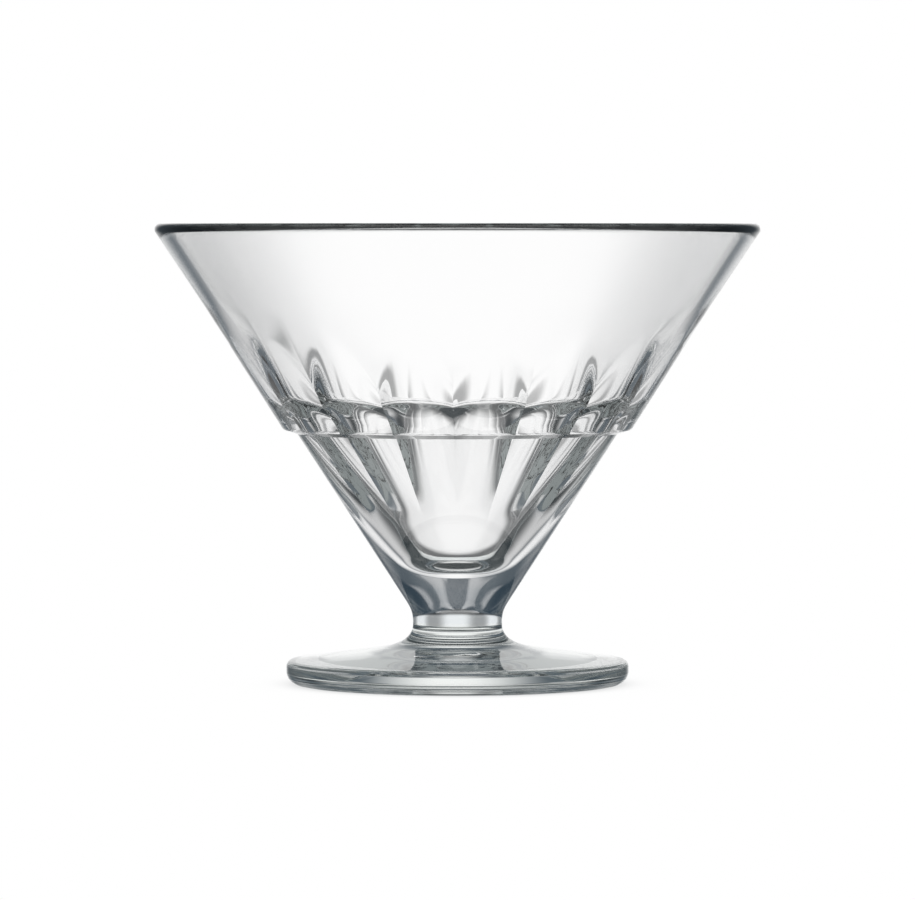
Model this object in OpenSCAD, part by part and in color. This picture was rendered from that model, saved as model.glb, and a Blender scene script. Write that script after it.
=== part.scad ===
// Footed ice cream glass: a pressed bowl, a short solid stem and a round foot,
// fused end to end on one axis. The origin is the middle of the face it stands on.

/* [Bowl outside] */
// Diameter over the rim
rim_d = 120; // [110:1:130]
// Thickness of the rounded rim
rim_t = 2.4; // [1.6:0.1:3]
// Height of the bowl above its seam with the stem
bowl_h = 71.7; // [66:0.1:76]
// Height above the seam where the wall starts to flare more
bend_h = 54.5; // [50:0.1:58]
// Diameter where the wall starts to flare more
bend_d = 99.2; // [96:0.1:102]
// Height above the seam of the step under the upper wall
step_h = 30; // [28:0.1:32]
// Diameter under the step
under_step_d = 63.6; // [60:0.1:66]
// Diameter over the step
step_d = 69; // [67:0.1:73]
// Height of the sloping underside of the step
step_rise = 0.7; // [0.3:0.1:1.2]
// Bevel on the edge of the step
step_bevel = 0.6; // [0.2:0.1:1]
// Diameter of the seam with the stem
seam_d = 24.6; // [22:0.1:26]

/* [Bowl inside] */
// Height of the cavity's floor above the seam
floor_h = 5.3; // [4:0.1:7]
// Diameter of the lower cavity at its floor
floor_d = 12; // [10:0.1:14]
// Rounding between the floor and the wall
floor_round = 4; // [2:0.1:4.5]
// Height of the foot of the ledge above the step
ledge_lift = 3.9; // [3:0.1:5]
// Height of the ledge
ledge_rise = 3; // [2:0.1:3.5]
// Wall across, between two flutes, at the foot of the ledge
low_wall = 7.5; // [6.5:0.1:8.5]
// Wall across, between two flutes, at the top of the ledge
up_wall = 3.8; // [3.6:0.1:4.4]

/* [Flutes] */
// Number of flutes round the inside
flute_n = 16; // [12:1:20]
// Radius of a lower flute
low_flute_r = 11; // [9:0.1:13]
// Depth of a lower flute at the foot of the ledge
low_flute_depth = 3.4; // [2.5:0.1:4]
// Height above the cavity's floor where the lower flutes run out
low_flute_lift = 9.8; // [8:0.1:12]
// Radius of an upper flute
up_flute_r = 12.6; // [11:0.1:15]
// Depth of an upper flute at the top of the ledge
up_flute_depth = 2; // [1.2:0.1:2.2]
// Height above the ledge where the upper flutes run out
up_flute_rise = 13.4; // [11:0.1:16]

/* [Stem] */
// Height of the stem from the foot to the bowl
stem_h = 7.8; // [6:0.1:12]
// Diameter of the neck, where the stem meets the foot
neck_d = 17.7; // [15:0.1:20]
// Radius of the hollow curve up from the neck
waist_r = 8.4; // [6:0.1:9]

/* [Foot] */
// Height of the foot up to the neck
foot_h = 11.9; // [10:0.1:14]
// Diameter of the foot
foot_d = 68; // [62:0.1:76]
// Height where the rounded edge meets the top of the foot
edge_h = 4.8; // [4:0.1:6]
// Rounding of the lower edge
low_edge_r = 2.5; // [1.5:0.1:2.8]
// Rounding of the upper edge
up_edge_r = 1.2; // [0.6:0.1:1.6]
// Diameter where the flare of the neck meets the top of the foot
flare_d = 26; // [23:0.1:30]
// Height of the top of the foot at the flare
flare_h = 7.5; // [6.8:0.1:8.5]
// Radius of the hollow flare
flare_r = 7; // [5:0.1:12]
// Diameter of the hollow under the foot
hollow_d = 54; // [44:0.1:58]
// Depth of the hollow under the foot
hollow_h = 1.2; // [0.4:0.1:2]

/* [Hidden] */
$fn = 128;

// Straight runs that draw each rounded corner of an outline
arc_steps = 10;

rim_tube = rim_t / 2;
rim_c = [rim_d / 2 - rim_tube, bowl_h - rim_tube];
stem_z = foot_h;
bowl_z = foot_h + stem_h;
// How far a cutter runs on past the surface that it leaves, along it and across it
overrun = rim_t;
lap = overrun / 3;

// Direction from c to p, in degrees
function bearing(c, p) = atan2(p[1] - c[1], p[0] - c[0]);

// Points on the circle of radius r round c, from angle a to angle b
function arc(c, r, a, b) =
    [for (i = [0 : arc_steps]) c + r * [cos(a + (b - a) * i / arc_steps), sin(a + (b - a) * i / arc_steps)]];

// Angle, seen from c, where the straight line from p just touches the circle of radius r round c,
// on the side given by 1 or -1
function touch(p, c, r, side) = bearing(c, p) + side * acos(r / norm(c - p));

// Centre of the circle of radius r through p and q, on the left when going from p to q
function centre_of(p, q, r) =
    let (d = q - p, half = norm(d) / 2, off = sqrt(r * r - half * half) / norm(d))
    (p + q) / 2 + off * [-d[1], d[0]];

// Radius at height h on the straight line from p to q
function radius_at(p, q, h) = p[0] + (q[0] - p[0]) * (h - p[1]) / (q[1] - p[1]);

step_p = [step_d / 2, step_h + step_rise];
bend_p = [bend_d / 2, bend_h];
floor_p = [floor_d / 2, floor_h];
ledge_in_h = step_h + ledge_lift;
ledge_out_h = ledge_in_h + ledge_rise;
ledge_in_p = [radius_at(step_p, bend_p, ledge_in_h) - low_wall, ledge_in_h];
ledge_out_p = [radius_at(step_p, bend_p, ledge_out_h) - up_wall, ledge_out_h];
inner_rim_a = touch(ledge_out_p, rim_c, rim_tube, -1);
outer_rim_a = touch(bend_p, rim_c, rim_tube, 1);
inner_rim_p = rim_c + rim_tube * [cos(inner_rim_a), sin(inner_rim_a)];
low_flute_h = floor_h + low_flute_lift;
up_flute_h = ledge_out_h + up_flute_rise;
up_foot_p = ledge_out_p + [up_flute_depth, 0];
up_head_p = [radius_at(ledge_out_p, inner_rim_p, up_flute_h), up_flute_h];

// Half section of the bowl without its flutes, from the seam up the outside and down the inside
module bowl_section() {
    wall_slope = (bend_p[0] - step_p[0]) / (bend_p[1] - step_p[1]);
    floor_a = atan2(ledge_in_p[0] - floor_p[0], ledge_in_p[1] - floor_p[1]);
    floor_c = floor_p + [-floor_round * tan((90 - floor_a) / 2), floor_round];
    polygon(concat(
        [
            [0, 0],
            [seam_d / 2, 0],
            [under_step_d / 2, step_h],
            step_p - [step_bevel, 0],
            step_p + [step_bevel * wall_slope, step_bevel],
            bend_p
        ],
        arc(rim_c, rim_tube, outer_rim_a, inner_rim_a + 360),
        [ledge_out_p, ledge_in_p],
        arc(floor_c, floor_round, -floor_a, -90),
        [[0, floor_h]]
    ));
}

// Cutter for one flute: a slice of a cylinder, bite deep, whose outermost line runs from low to high
module flute(low, high, r, bite) {
    lean = atan2(high[0] - low[0], high[1] - low[1]);
    translate([low[0] - r * cos(lean), 0, low[1] + r * sin(lean)])
        rotate([0, lean, 0])
            linear_extrude(norm(high - low))
                intersection() {
                    circle(r);
                    translate([r - bite, -r]) square([bite, 2 * r]);
                }
}

// Ring of flutes between heights start and stop, along the straight line through low and high
module flutes(low, high, start, stop, r, bite) {
    for (i = [0 : flute_n - 1])
        rotate((i + 0.5) * 360 / flute_n)
            flute([radius_at(low, high, start), start], [radius_at(low, high, stop), stop], r, bite);
}

module low_flutes() {
    foot_p = [radius_at(floor_p, ledge_in_p, low_flute_h), low_flute_h];
    head_p = ledge_in_p + [low_flute_depth, 0];
    flutes(foot_p, head_p, low_flute_h - overrun, ledge_out_h + lap, low_flute_r, low_flute_depth + lap);
}

module up_flutes() {
    bite = up_flute_depth + 2 * lap;
    flutes(up_foot_p, up_head_p, ledge_in_h + lap, up_flute_h + overrun, up_flute_r, bite);
}

// Ring of glass under the ledge, which closes the lower ends of the upper flutes
module under_ledge() {
    out_p = ledge_out_p + 2 * up_flute_depth * [1, ledge_rise / (ledge_out_p[0] - ledge_in_p[0])];
    polygon([ledge_in_p, [radius_at(up_foot_p, up_head_p, ledge_in_h) + lap, ledge_in_h], out_p]);
}

// Pressed bowl: smooth outside with one step, fluted inside above and below a ledge
module bowl() {
    color("aliceblue")
        translate([0, 0, bowl_z])
            difference() {
                union() {
                    difference() {
                        rotate_extrude() bowl_section();
                        up_flutes();
                    }
                    rotate_extrude() under_ledge();
                }
                low_flutes();
            }
}

// Solid stem, hollowed at the neck and running straight into the bowl's side
module stem() {
    waist_c = [neck_d / 2 + waist_r, 0];
    top_p = [seam_d / 2, stem_h];
    color("lightsteelblue")
        translate([0, 0, stem_z])
            rotate_extrude()
                polygon(concat(
                    [[0, 0]],
                    arc(waist_c, waist_r, 180, touch(top_p, waist_c, waist_r, 1)),
                    [top_p, [0, stem_h]]
                ));
}

// Foot: a disc with a rounded edge, a flared neck and a shallow hollow underneath
module foot() {
    neck_p = [neck_d / 2, foot_h];
    flare_p = [flare_d / 2, flare_h];
    flare_c = centre_of(neck_p, flare_p, flare_r);
    low_c = [foot_d / 2 - low_edge_r, low_edge_r];
    up_c = [foot_d / 2 - up_edge_r, edge_h - up_edge_r];
    color("honeydew")
        rotate_extrude()
            polygon(concat(
                [[0, hollow_h], [hollow_d / 2, 0]],
                arc(low_c, low_edge_r, -90, 0),
                arc(up_c, up_edge_r, 0, touch(flare_p, up_c, up_edge_r, -1)),
                arc(flare_c, flare_r, bearing(flare_c, flare_p), bearing(flare_c, neck_p)),
                [[0, foot_h]]
            ));
}

bowl();
stem();
foot();
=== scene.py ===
import math

import bpy
import numpy as np
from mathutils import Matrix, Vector


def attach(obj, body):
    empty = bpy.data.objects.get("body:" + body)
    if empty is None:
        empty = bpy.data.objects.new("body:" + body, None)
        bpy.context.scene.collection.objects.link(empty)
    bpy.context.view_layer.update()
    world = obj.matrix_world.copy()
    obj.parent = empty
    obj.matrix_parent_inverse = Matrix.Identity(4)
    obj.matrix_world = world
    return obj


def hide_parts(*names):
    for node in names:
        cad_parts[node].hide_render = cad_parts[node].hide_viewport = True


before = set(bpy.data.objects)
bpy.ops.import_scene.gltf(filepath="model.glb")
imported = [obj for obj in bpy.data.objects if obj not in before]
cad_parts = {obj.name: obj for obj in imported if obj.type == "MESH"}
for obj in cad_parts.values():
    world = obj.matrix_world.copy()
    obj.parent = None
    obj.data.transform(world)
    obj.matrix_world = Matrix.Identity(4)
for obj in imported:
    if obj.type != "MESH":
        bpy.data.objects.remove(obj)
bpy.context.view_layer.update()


# Foot
# A round disc of pressed soda-lime glass on which the glass stands. It is pressed by itself, with a rounded
# edge, a shallow hollow underneath and a flared neck on top, and fused to the stem while both are hot.
# All lengths are in millimetres.
metre = 1000
foot_height = 11.9
neck_radius = 8.85
hollow_depth, hollow_radius = 1.2, 27.0
hollow_middle = 4.0                  # radius of the flat middle of the hollow
hollow_shoulder = (16.0, 1.05)       # radius and height where the hollow starts to come down faster
lower_edge = (31.5, 2.5, 2.5)        # middle radius, middle height, rounding
upper_edge = (32.8, 3.6, 1.2)
ring_pitch, ring_depth = 0.9, 0.08   # fine rings that the turned mould leaves round the edge
finer_rings = 1.7                    # rings of a second set for each ring of the first
top_slope = math.radians(8)
flare_start = 15.0                   # radius
flare_pull, neck_pull = 3.6, 2.6     # how far the flare follows the foot's top, and the neck its own line
ring_rows, flare_rows = 10, 26       # rows of the mesh in one ring, and in the flare
hollow_spacing, foot_spacing, seam_spacing = 4.0, 1.5, 3.0    # between two rows of a straight run
sharp_edge = math.radians(12)        # an edge that turns by more than this stays sharp
foot_tint = "#f8fbf9"
wave_length = 20.0                   # from crest to crest
hot_wave = 0.02                      # height of the waves that stay in glass worked while hot
scene = bpy.context.scene

# Every piece is turned with the same columns, which follow the bowl's flutes and crowd at the ridges.
flutes = 16
columns_per_flute = 20
half_flute = math.pi / flutes
across = np.sin(np.linspace(-1, 1, columns_per_flute, endpoint=False) * math.pi / 2) * half_flute
flute_angle = np.tile(across, flutes)
turn = np.concatenate([(2 * i + 1) * half_flute + across for i in range(flutes)])


# Points along a straight run, without its end.
def straight(start, end, spacing):
    count = max(1, round(math.dist(start, end) / spacing))
    return [(start[0] + (end[0] - start[0]) * i / count, start[1] + (end[1] - start[1]) * i / count)
            for i in range(count)]


# A rounding with two sets of fine rings in it, which fade out towards both ends.
def ringed(middle_r, middle_z, r, start, end):
    length = math.radians(end - start) * r
    run = np.linspace(0, length, round(length / ring_pitch * ring_rows) + 1)
    phase = run * 2 * math.pi / ring_pitch
    rings = (2 - np.cos(phase) - np.cos(finer_rings * phase)) / 4
    radii = r - ring_depth * rings * np.sin(run * math.pi / length)
    angles = math.radians(start) + run / r
    return [(middle_r + s * math.cos(a), middle_z + s * math.sin(a)) for a, s in zip(angles, radii)]


# A smooth curve from p0 that leaves towards p1, arrives from p2 and stops short of p3.
def sweep(p0, p1, p2, p3, count):
    return [tuple((1 - t) ** 3 * np.array(p0) + 3 * (1 - t) ** 2 * t * np.array(p1)
                  + 3 * (1 - t) * t ** 2 * np.array(p2) + t ** 3 * np.array(p3))
            for t in np.linspace(0, 1, count, endpoint=False)]


# Linear colour of an sRGB hex value.
def linear(hex_colour):
    parts = [int(hex_colour[i:i + 2], 16) / 255 for i in (1, 3, 5)]
    return tuple(c / 12.92 if c <= 0.04045 else ((c + 0.055) / 1.055) ** 2.4 for c in parts) + (1.0,)


# Adds a node; an input is either linked, where it is another node's socket, or set.
def put(tree, kind, inputs=None, **settings):
    node = tree.nodes.new(kind)
    for name, value in settings.items():
        setattr(node, name, value)
    for socket, value in (inputs or {}).items():
        if isinstance(value, bpy.types.NodeSocket):
            tree.links.new(value, node.inputs[socket])
        else:
            node.inputs[socket].default_value = value
    return node


# Pressed soda-lime glass, fire-polished: clear and smooth to the eye, with a slow waviness of the surface
# that the mould and the flame leave, and a faint tint, which is set where light goes through the surface.
def pressed_glass(name, tint, wave_height):
    material = bpy.data.materials.new(name)
    material.use_nodes = True
    tree = material.node_tree
    tree.nodes.clear()
    place = put(tree, "ShaderNodeTexCoord")
    waves = put(tree, "ShaderNodeTexNoise", {"Vector": place.outputs["Object"], "Scale": metre / wave_length,
                                             "Detail": 1.0, "Roughness": 0.4})
    skin = put(tree, "ShaderNodeBump", {"Height": waves.outputs["Fac"], "Strength": 1.0,
                                        "Distance": wave_height / metre})
    glass = put(tree, "ShaderNodeBsdfPrincipled",
                {"Base Color": linear(tint), "Roughness": 0.0, "IOR": 1.52, "Transmission Weight": 1.0,
                 "Normal": skin.outputs["Normal"]})
    put(tree, "ShaderNodeOutputMaterial", {"Surface": glass.outputs["BSDF"]})
    return material


# Where two pieces are fused there is no surface inside the glass, so the faces that meet are see-through.
white = linear("#ffffff")
fused_seam = bpy.data.materials.new("fused_seam")
fused_seam.use_nodes = True
fused_seam.node_tree.nodes.clear()
clear = put(fused_seam.node_tree, "ShaderNodeBsdfTransparent", {"Color": white})
put(fused_seam.node_tree, "ShaderNodeOutputMaterial", {"Surface": clear.outputs["BSDF"]})


# Turns rows of radius and height, from one end of the axis to the other, into a closed mesh in metres.
# A radius may be one number or one for each column. seams holds the heights of the flat, fused faces.
def turned(name, rows, glass, seams):
    grid = np.array([np.stack([np.broadcast_to(r, turn.shape) * np.sin(turn),
                               -np.broadcast_to(r, turn.shape) * np.cos(turn),
                               np.full(turn.shape, z)], 1) for r, z in rows[1:-1]])
    count = len(turn)
    points = np.concatenate([grid.reshape(-1, 3), [[0, 0, rows[0][1]], [0, 0, rows[-1][1]]]]) / metre
    first, last = len(points) - 2, len(points) - 1
    top_row = (len(grid) - 1) * count
    faces = []
    for j in range(count):
        k = (j + 1) % count
        faces.append((first, k, j))
        for i in range(0, top_row, count):
            corners = (i + j, i + k, i + count + k, i + count + j)
            faces.append(corners if flute_angle[j] >= 0 else corners[1:] + corners[:1])
        faces.append((top_row + j, top_row + k, last))
    mesh = bpy.data.meshes.new(name)
    mesh.from_pydata(points.tolist(), [], faces)
    mesh.materials.append(glass)
    mesh.materials.append(fused_seam)
    heights = np.round(points[:, 2] * metre, 4)
    for face in mesh.polygons:
        face.use_smooth = True
        face_heights = {heights[v] for v in face.vertices}
        if len(face_heights) == 1 and face_heights.pop() in seams:
            face.material_index = 1
    mesh.set_sharp_from_angle(angle=sharp_edge)
    piece = bpy.data.objects.new(name, mesh)
    scene.collection.objects.link(piece)
    return piece


foot_top = ringed(*upper_edge, 0, 90 - math.degrees(top_slope))
flare_z = foot_top[-1][1] + (foot_top[-1][0] - flare_start) * math.tan(top_slope)
flare_lead = (flare_start - flare_pull, flare_z + flare_pull * math.tan(top_slope))
foot_rows = [(0.0, hollow_depth)]
foot_rows += straight((hollow_middle, hollow_depth), hollow_shoulder, hollow_spacing)
foot_rows += straight(hollow_shoulder, (hollow_radius, 0.0), foot_spacing)
foot_rows += straight((hollow_radius, 0.0), (lower_edge[0], 0.0), foot_spacing)
foot_rows += ringed(*lower_edge, -90, 0)
foot_rows += foot_top
foot_rows += straight(foot_top[-1], (flare_start, flare_z), foot_spacing)[1:]
foot_rows += sweep((flare_start, flare_z), flare_lead, (neck_radius, foot_height - neck_pull),
                   (neck_radius, foot_height), flare_rows)
foot_rows += straight((neck_radius, foot_height), (0.0, foot_height), seam_spacing)
foot_rows += [(0.0, foot_height)]
foot_material = pressed_glass("pressed_glass_foot", foot_tint, hot_wave)
foot = turned("foot_glass", foot_rows, foot_material, {foot_height})
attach(foot, "root")
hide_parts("foot")


# Stem
# A short solid stem of the same glass, drawn in to a neck where it meets the foot. It is fused to the foot
# below and widens into the bowl above, so that its side and the bowl's are one straight line.
seam_height = 19.7
seam_radius = 12.3
side_slope = 0.648                   # radius gained per height
waist_top = 17.0                     # height where the hollow waist ends
waist_pull, stem_pull = 2.0, 2.4     # how far the waist follows the side above it, and the neck its own line
waist_rows = 24                      # rows of the mesh in the waist
end_middle, end_spacing = 2.0, 2.5   # radius of the innermost row of the lower end, and the step to the next
side_spacing = 0.9
stem_tint = "#f0f4f6"
waist_radius = seam_radius - (seam_height - waist_top) * side_slope
waist_lead = (waist_radius - waist_pull * side_slope, waist_top - waist_pull)
stem_rows = [(0.0, foot_height)]
stem_rows += straight((end_middle, foot_height), (neck_radius, foot_height), end_spacing)
stem_rows += sweep((neck_radius, foot_height), (neck_radius, foot_height + stem_pull), waist_lead,
                   (waist_radius, waist_top), waist_rows)
stem_rows += straight((waist_radius, waist_top), (seam_radius, seam_height), side_spacing)
stem_rows += straight((seam_radius, seam_height), (0.0, seam_height), seam_spacing)
stem_rows += [(0.0, seam_height)]
stem_material = pressed_glass("pressed_glass_stem", stem_tint, hot_wave)
stem = turned("stem_glass", stem_rows, stem_material, {foot_height, seam_height})
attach(stem, "root")
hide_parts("stem")


# Bowl
# The cone of pressed glass that holds the dessert. The mould gives the smooth outside with its one step; the
# plunger gives the inside, with sixteen hollow flutes above and sixteen below a ledge, which meet in sharp
# ridges. The flame rounds the rim.
glass_height = 91.4
rim_radius, rim_thickness = 60.0, 2.4
step_under = (31.8, 49.7)            # radius and height, as in the next five
step_edge = (34.5, 50.4)
bend = (49.6, 74.2)
cone_foot, cone_top = (6.0, 24.6), (26.9, 51.0)
ledge = ((28.2, 53.2), (36.0, 57.3))
up_wall_foot = (35.2, 57.5)
step_bevel = 0.6
bevel_leads = (0.2, 0.1)             # how far inside and above the edge the bevel's curve is aimed
floor_round = 8.0                    # round the cavity's floor
low_flute = ((12.1, 33.0), (29.9, 51.0), 11.0)    # deepest line from, to, and the flute's own radius
up_flute = ((37.0, 57.3), (43.7, 70.0), 12.6)
ledge_round, corner_round, run_out_round = 1.7, 0.5, 0.4
flutes_fade, flutes_start = 72.0, 30.5            # heights above and below which the inside is nearly plain
ledge_above, ledge_below = 60.5, 49.5             # heights between which the rows lie closest
draw_in_start, draw_in_end = 76.0, 86.0           # heights between which the wall bends to meet the rim
bevel_rows, rim_rows, floor_rows = 7, 24, 10      # rows of the mesh in each curve
outside_spacing, step_spacing, cone_spacing, floor_spacing = 1.6, 0.5, 0.6, 1.2
bowl_tint = "#fefefe"
pressed_wave = 0.005                 # height of the waves that the mould leaves


# Points on a part of a circle, from one angle in degrees to another.
def rounding(middle_r, middle_z, r, start, end, count):
    angles = np.radians(np.linspace(start, end, count + 1))
    return [(middle_r + r * math.cos(a), middle_z + r * math.sin(a)) for a in angles]


# Radius at height z on the straight line through start and end.
def along(start, end, z):
    return start[0] + (end[0] - start[0]) * (z - start[1]) / (end[1] - start[1])


# Radius, in each column and at height z, of a leaning round flute whose deepest line runs from start to end.
def flute_radius(start, end, r, z):
    lean = math.cos(math.atan2(end[0] - start[0], end[1] - start[1]))
    middle = along(start, end, z) * lean - r
    a = (np.cos(flute_angle) * lean) ** 2 + np.sin(flute_angle) ** 2
    b = np.cos(flute_angle) * lean * middle
    return (b + np.sqrt(np.maximum(b * b - a * (middle * middle - r * r), 0))) / a


# The larger and the smaller of two radii, with a soft change from one to the other.
def wider(a, b, blend):
    return (a + b + np.sqrt((a - b) ** 2 + blend ** 2)) / 2


def narrower(a, b, blend):
    return (a + b - np.sqrt((a - b) ** 2 + blend ** 2)) / 2


# Angle on a circle where the straight line from p just touches it, on one side or the other.
def touch(p, middle, r, side):
    towards = math.atan2(p[1] - middle[1], p[0] - middle[0])
    return math.degrees(towards + side * math.acos(r / math.dist(p, middle)))


tube = rim_thickness / 2
rim_middle = (rim_radius - tube, glass_height - tube)
rim_outside = touch(bend, rim_middle, tube, 1)
rim_inside = touch(up_wall_foot, rim_middle, tube, -1) + 360
rim = rounding(*rim_middle, tube, rim_outside, rim_inside, rim_rows)
floor_lean = math.atan2(cone_top[0] - cone_foot[0], cone_top[1] - cone_foot[1])
floor_flat = cone_foot[0] - floor_round * math.tan((math.pi / 2 - floor_lean) / 2)
floor_middle = (floor_flat, cone_foot[1] + floor_round)
floor_arc = rounding(*floor_middle, floor_round, -math.degrees(floor_lean), -90, floor_rows)


# Radius of the inside at height z, in each column.
def plunger(z):
    upper = wider(along(up_wall_foot, rim[-1], z), flute_radius(*up_flute, z), run_out_round)
    lower = wider(along(cone_foot, cone_top, z), flute_radius(*low_flute, z), run_out_round)
    return narrower(upper, wider(lower, along(*ledge, z), ledge_round), corner_round)


wall_slope = (bend[0] - step_edge[0]) / (bend[1] - step_edge[1])
bevel_in = (step_edge[0] - step_bevel, step_edge[1])
bevel_out = (step_edge[0] + step_bevel * wall_slope, step_edge[1] + step_bevel)
bowl_rows = [(0.0, seam_height)]
bowl_rows += straight((seam_spacing, seam_height), (seam_radius, seam_height), seam_spacing)
bowl_rows += straight((seam_radius, seam_height), step_under, outside_spacing)
bowl_rows += straight(step_under, bevel_in, step_spacing)
bowl_rows += sweep(bevel_in, (step_edge[0] - bevel_leads[0], step_edge[1]),
                   (step_edge[0], step_edge[1] + bevel_leads[1]), bevel_out, bevel_rows)
bowl_rows += straight(bevel_out, bend, outside_spacing)
bowl_rows += straight(bend, rim[0], outside_spacing)
bowl_rows += rim[:-1]

# The rows of the fluted inside go down in runs: the height that each run goes down to, and its count.
levels = [rim[-1][1]]
for run_end, count in ((flutes_fade, 14), (ledge_above, 32), (ledge_below, 78), (flutes_start, 52)):
    levels += list(np.linspace(levels[-1], run_end, count)[1:])
rim_offset = plunger(rim[-1][1]) - rim[-1][0]
for z in levels:
    drawn_in = min(1, max(0, (z - draw_in_start) / (draw_in_end - draw_in_start)))
    bowl_rows.append((plunger(z) - rim_offset * drawn_in, z))

# Below the flutes, what is left of them fades out towards the rounded floor of the cavity.
last_fluted = bowl_rows[-1][0]
plain = along(cone_foot, cone_top, flutes_start)
for r, z in straight((plain, flutes_start), floor_arc[0], cone_spacing)[1:]:
    fade = (z - floor_arc[0][1]) / (flutes_start - floor_arc[0][1])
    bowl_rows.append((r + (last_fluted - plain) * fade, z))
bowl_rows += floor_arc
bowl_rows += straight((floor_flat, cone_foot[1]), (0.0, cone_foot[1]), floor_spacing)[1:]
bowl_rows += [(0.0, cone_foot[1])]
bowl_material = pressed_glass("pressed_glass_bowl", bowl_tint, pressed_wave)
bowl = turned("bowl_glass", bowl_rows, bowl_material, {seam_height})
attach(bowl, "root")
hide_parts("bowl")


# Floor
# A plain white table top, painted matt, on which the glass stands with a soft shadow under its foot.
# The camera sees it; where the glass mirrors it or shows it, the white of the studio takes its place.
floor_reach = 3000                   # from the middle to each side
shadow_reach, shadow_strength = 30, 0.25
open_table = 0.9                     # share of open sky from which the table shows no shadow
table_paint = "#f2f2f2"
floor_corners = [(x * floor_reach / metre, y * floor_reach / metre, 0.0)
                 for x, y in ((-1, -1), (1, -1), (1, 1), (-1, 1))]
floor_mesh = bpy.data.meshes.new("floor")
floor_mesh.from_pydata(floor_corners, [], [(0, 1, 2, 3)])
floor = bpy.data.objects.new("floor", floor_mesh)
scene.collection.objects.link(floor)
table_white = bpy.data.materials.new("white_table")
table_white.use_nodes = True
tree = table_white.node_tree
tree.nodes.clear()
ray = put(tree, "ShaderNodeLightPath").outputs
shade = put(tree, "ShaderNodeAmbientOcclusion", {"Color": white, "Distance": shadow_reach / metre},
            samples=8)
soft = put(tree, "ShaderNodeMapRange",
           {"Value": shade.outputs["AO"], "From Min": 0.0, "From Max": open_table,
            "To Min": 1 - shadow_strength, "To Max": 1.0})
glow = put(tree, "ShaderNodeEmission", {"Color": white, "Strength": soft.outputs["Result"]})
matt = put(tree, "ShaderNodeBsdfDiffuse", {"Color": linear(table_paint)})
studio_white = put(tree, "ShaderNodeBsdfTransparent", {"Color": white})
in_glass = put(tree, "ShaderNodeMath", {0: ray["Is Glossy Ray"], 1: ray["Is Transmission Ray"]},
               operation="MAXIMUM")
unseen = put(tree, "ShaderNodeMixShader", {0: in_glass.outputs["Value"], 1: matt.outputs["BSDF"],
                                           2: studio_white.outputs["BSDF"]})
table = put(tree, "ShaderNodeMixShader", {0: ray["Is Camera Ray"], 1: unseen.outputs["Shader"],
                                          2: glow.outputs["Emission"]})
put(tree, "ShaderNodeOutputMaterial", {"Surface": table.outputs["Shader"]})
floor_mesh.materials.append(table_white)


# Studio light
# Through the glass shows a white studio, with darker gaps between its panels and a dark ceiling. The glass
# mirrors a dim room with one bright panel behind the glass, a lit table top, two lamps, and white on the
# viewer's side. Light that is mirrored many times inside the glass ends in grey, darker in the rim.
studio_panels = 8
gap_light, floor_light, ceiling_light = 0.4, 0.95, 0.1    # where a studio panel is 1
wall_foot_shade = 0.85               # share of the light that the dark foot of the far wall lacks
table_light, lamp_light = 0.65, 0.4  # where the room's panel is 1
lamp_bearing = math.radians(38)      # away from the back, on both sides
gap_colour = "#00080c"
low_wall, middle_wall, high_wall = "#33383a", "#5a636a", "#34424d"
deep_grey, rim_grey = "#8c9292", "#393a3a"
bounces = 32
studio = bpy.data.worlds.new("studio")
scene.world = studio
studio.use_nodes = True
tree = studio.node_tree
tree.nodes.clear()
place = put(tree, "ShaderNodeTexCoord")
way = put(tree, "ShaderNodeSeparateXYZ", {"Vector": place.outputs["Generated"]}).outputs
bearing = put(tree, "ShaderNodeMath", {0: way["X"], 1: way["Y"]}, operation="ARCTAN2").outputs["Value"]
aside = put(tree, "ShaderNodeMath", {0: bearing}, operation="ABSOLUTE").outputs["Value"]
past_lamp = put(tree, "ShaderNodeMath", {0: aside, 1: lamp_bearing}, operation="SUBTRACT").outputs["Value"]
off_lamp = put(tree, "ShaderNodeMath", {0: past_lamp}, operation="ABSOLUTE").outputs["Value"]
panel_turn = put(tree, "ShaderNodeMath", {0: aside, 1: studio_panels}, operation="MULTIPLY").outputs["Value"]
panel_wave = put(tree, "ShaderNodeMath", {0: panel_turn}, operation="COSINE").outputs["Value"]
ray = put(tree, "ShaderNodeLightPath").outputs
mirrors = ray["Glossy Depth"]
surfaces = ray["Transmission Depth"]

# Each span grows softly from nothing to full: between two heights in degrees above the level, between two
# bearings in degrees away from the back or from a lamp, from the middle of a gap into a panel, or between
# two numbers of reflections.
heights = {"floor": (-4, -15), "under_ceiling": (34, 16), "wall_foot": (-20, -29), "over_near": (-46, -36),
           "under_panel_top": (34, 18), "over_panel_foot": (-20, -9), "far_down": (-32, -52),
           "far_up": (38, 62), "table_near_edge": (-44, -26), "table_far_edge": (-13, -23),
           "lamp_height": (27, 37), "over_table": (-22, -14), "upper_wall": (24, 40)}
bearings = {"panel_width": (aside, 26, 2), "viewer_side": (aside, 55, 95), "table_width": (aside, 58, 34),
            "lamp_width": (off_lamp, 12, 3)}
spans = {"panels": (panel_wave, -1.0, 0.8), "in_rim": (mirrors, 9.5, 13.5)}
for name, (start, end) in heights.items():
    spans[name] = (way["Z"], math.sin(math.radians(start)), math.sin(math.radians(end)))
for name, (value, start, end) in bearings.items():
    spans[name] = (value, math.radians(start), math.radians(end))
full = {}
for name, (value, start, end) in spans.items():
    full[name] = put(tree, "ShaderNodeMapRange", {"Value": value, "From Min": start, "From Max": end},
                     interpolation_type="SMOOTHSTEP").outputs["Result"]

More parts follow.
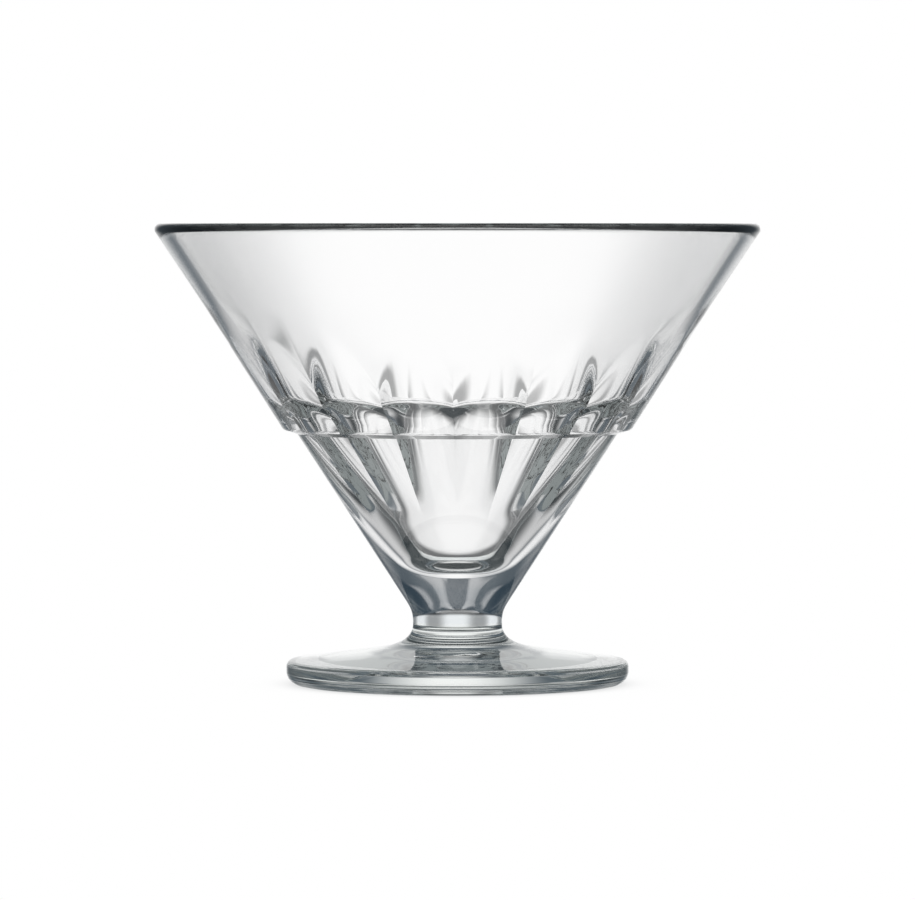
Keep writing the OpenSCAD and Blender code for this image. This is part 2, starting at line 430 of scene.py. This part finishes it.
# Reflections and the surfaces that light goes through are whole numbers, so each limit lies between two.
for name, number, test, limit in (("mirrored", mirrors, "GREATER_THAN", 0.5),
                                  ("mirrored_once", mirrors, "LESS_THAN", 1.5),
                                  ("deep", mirrors, "GREATER_THAN", 5.5),
                                  ("in_second_wall", surfaces, "GREATER_THAN", 2.5)):
    full[name] = put(tree, "ShaderNodeMath", {0: number, 1: limit}, operation=test).outputs["Value"]

# Each light in the room is the product of its spans and its strength; the brightest one counts.
lights = [[full["panel_width"], full["under_panel_top"], full["over_panel_foot"]],
          [full["viewer_side"], full["mirrored_once"], full["far_down"]],
          [full["viewer_side"], full["mirrored_once"], full["far_up"]],
          [full["table_near_edge"], full["table_far_edge"], full["table_width"], table_light],
          [full["lamp_width"], full["lamp_height"], lamp_light]]
brightest = 0.0
for factors in lights:
    product = factors[0]
    for factor in factors[1:]:
        product = put(tree, "ShaderNodeMath", {0: product, 1: factor}, operation="MULTIPLY").outputs["Value"]
    brightest = put(tree, "ShaderNodeMath", {0: brightest, 1: product}, operation="MAXIMUM").outputs["Value"]

# The room's colours lie one over the other. In a Mix node for colours, input 0 says how much the second one
# covers, inputs 6 and 7 are the two colours, and output 2 is the mixed one.
deep = put(tree, "ShaderNodeMix", {0: full["in_rim"], 6: linear(deep_grey), 7: linear(rim_grey)},
           data_type="RGBA").outputs[2]
room = linear(low_wall)
for cover, colour in ((full["over_table"], linear(middle_wall)), (full["upper_wall"], linear(high_wall)),
                      (brightest, white), (full["deep"], deep)):
    room = put(tree, "ShaderNodeMix", {0: cover, 6: room, 7: colour}, data_type="RGBA").outputs[2]

# Through the glass: the panels and their gaps, the white floor, the dark ceiling, and the dark foot of the
# far wall, which shows only where light has gone on into a second wall of the bowl.
for name, least in (("panels", gap_light), ("under_ceiling", ceiling_light)):
    full[name] = put(tree, "ShaderNodeMath", {0: full[name], 1: 1 - least, 2: least},
                     operation="MULTIPLY_ADD").outputs["Value"]
lit_floor = put(tree, "ShaderNodeMath", {0: full["floor"], 1: floor_light}, operation="MULTIPLY")
dark_foot = full["wall_foot"]
for factor in (full["over_near"], full["in_second_wall"]):
    dark_foot = put(tree, "ShaderNodeMath", {0: dark_foot, 1: factor}, operation="MULTIPLY").outputs["Value"]
over_foot = put(tree, "ShaderNodeMath", {0: dark_foot, 1: -wall_foot_shade, 2: 1.0},
                operation="MULTIPLY_ADD")
shown = full["panels"]
for step, value in (("MAXIMUM", lit_floor.outputs["Value"]), ("MULTIPLY", full["under_ceiling"]),
                    ("MULTIPLY", over_foot.outputs["Value"])):
    shown = put(tree, "ShaderNodeMath", {0: shown, 1: value}, operation=step).outputs["Value"]

# The studio's white lies over its gaps, and the room over both where the glass mirrors. The camera itself
# sees plain white.
seen = linear(gap_colour)
for cover, colour in ((shown, white), (full["mirrored"], room), (ray["Is Camera Ray"], white)):
    seen = put(tree, "ShaderNodeMix", {0: cover, 6: seen, 7: colour}, data_type="RGBA").outputs[2]
light = put(tree, "ShaderNodeBackground", {"Color": seen, "Strength": 1.0})
put(tree, "ShaderNodeOutputWorld", {"Surface": light.outputs["Background"]})
scene.cycles.max_bounces = bounces
scene.cycles.transmission_bounces = bounces
scene.cycles.glossy_bounces = bounces
scene.cycles.transparent_max_bounces = bounces


# Camera
# It stands level with the rim, about 1.2 m away, and has a long lens. It looks from a little to the right,
# so that the front ridge stands to the left of the middle.
photo_width, rim_width = 915, 604.5               # pixels of the photo, as in the next two lines
table_row, rim_row, middle_row = 684, 229, 450
sight_length = 5900                               # from the camera to the glass's axis
pixel = 2 * rim_radius / rim_width                # millimetres in one pixel, at the glass's axis
camera_distance = sight_length * pixel
camera_height = (table_row - rim_row) * pixel
aim_height = (table_row - middle_row) * pixel
camera_turn = math.radians(1.3)
sensor_width = 36
lens = bpy.data.cameras.new("camera")
camera = bpy.data.objects.new("camera", lens)
scene.collection.objects.link(camera)
camera.location = Vector((camera_distance * math.sin(camera_turn), -camera_distance * math.cos(camera_turn),
                          camera_height)) / metre
sight = Vector((0, 0, aim_height / metre)) - camera.location
camera.rotation_euler = sight.to_track_quat("-Z", "Y").to_euler()
lens.sensor_width = sensor_width
lens.lens = sensor_width * sight.length * metre / (photo_width * pixel)
lens.clip_end = 100
scene.camera = camera
scene.view_settings.view_transform = "Standard"
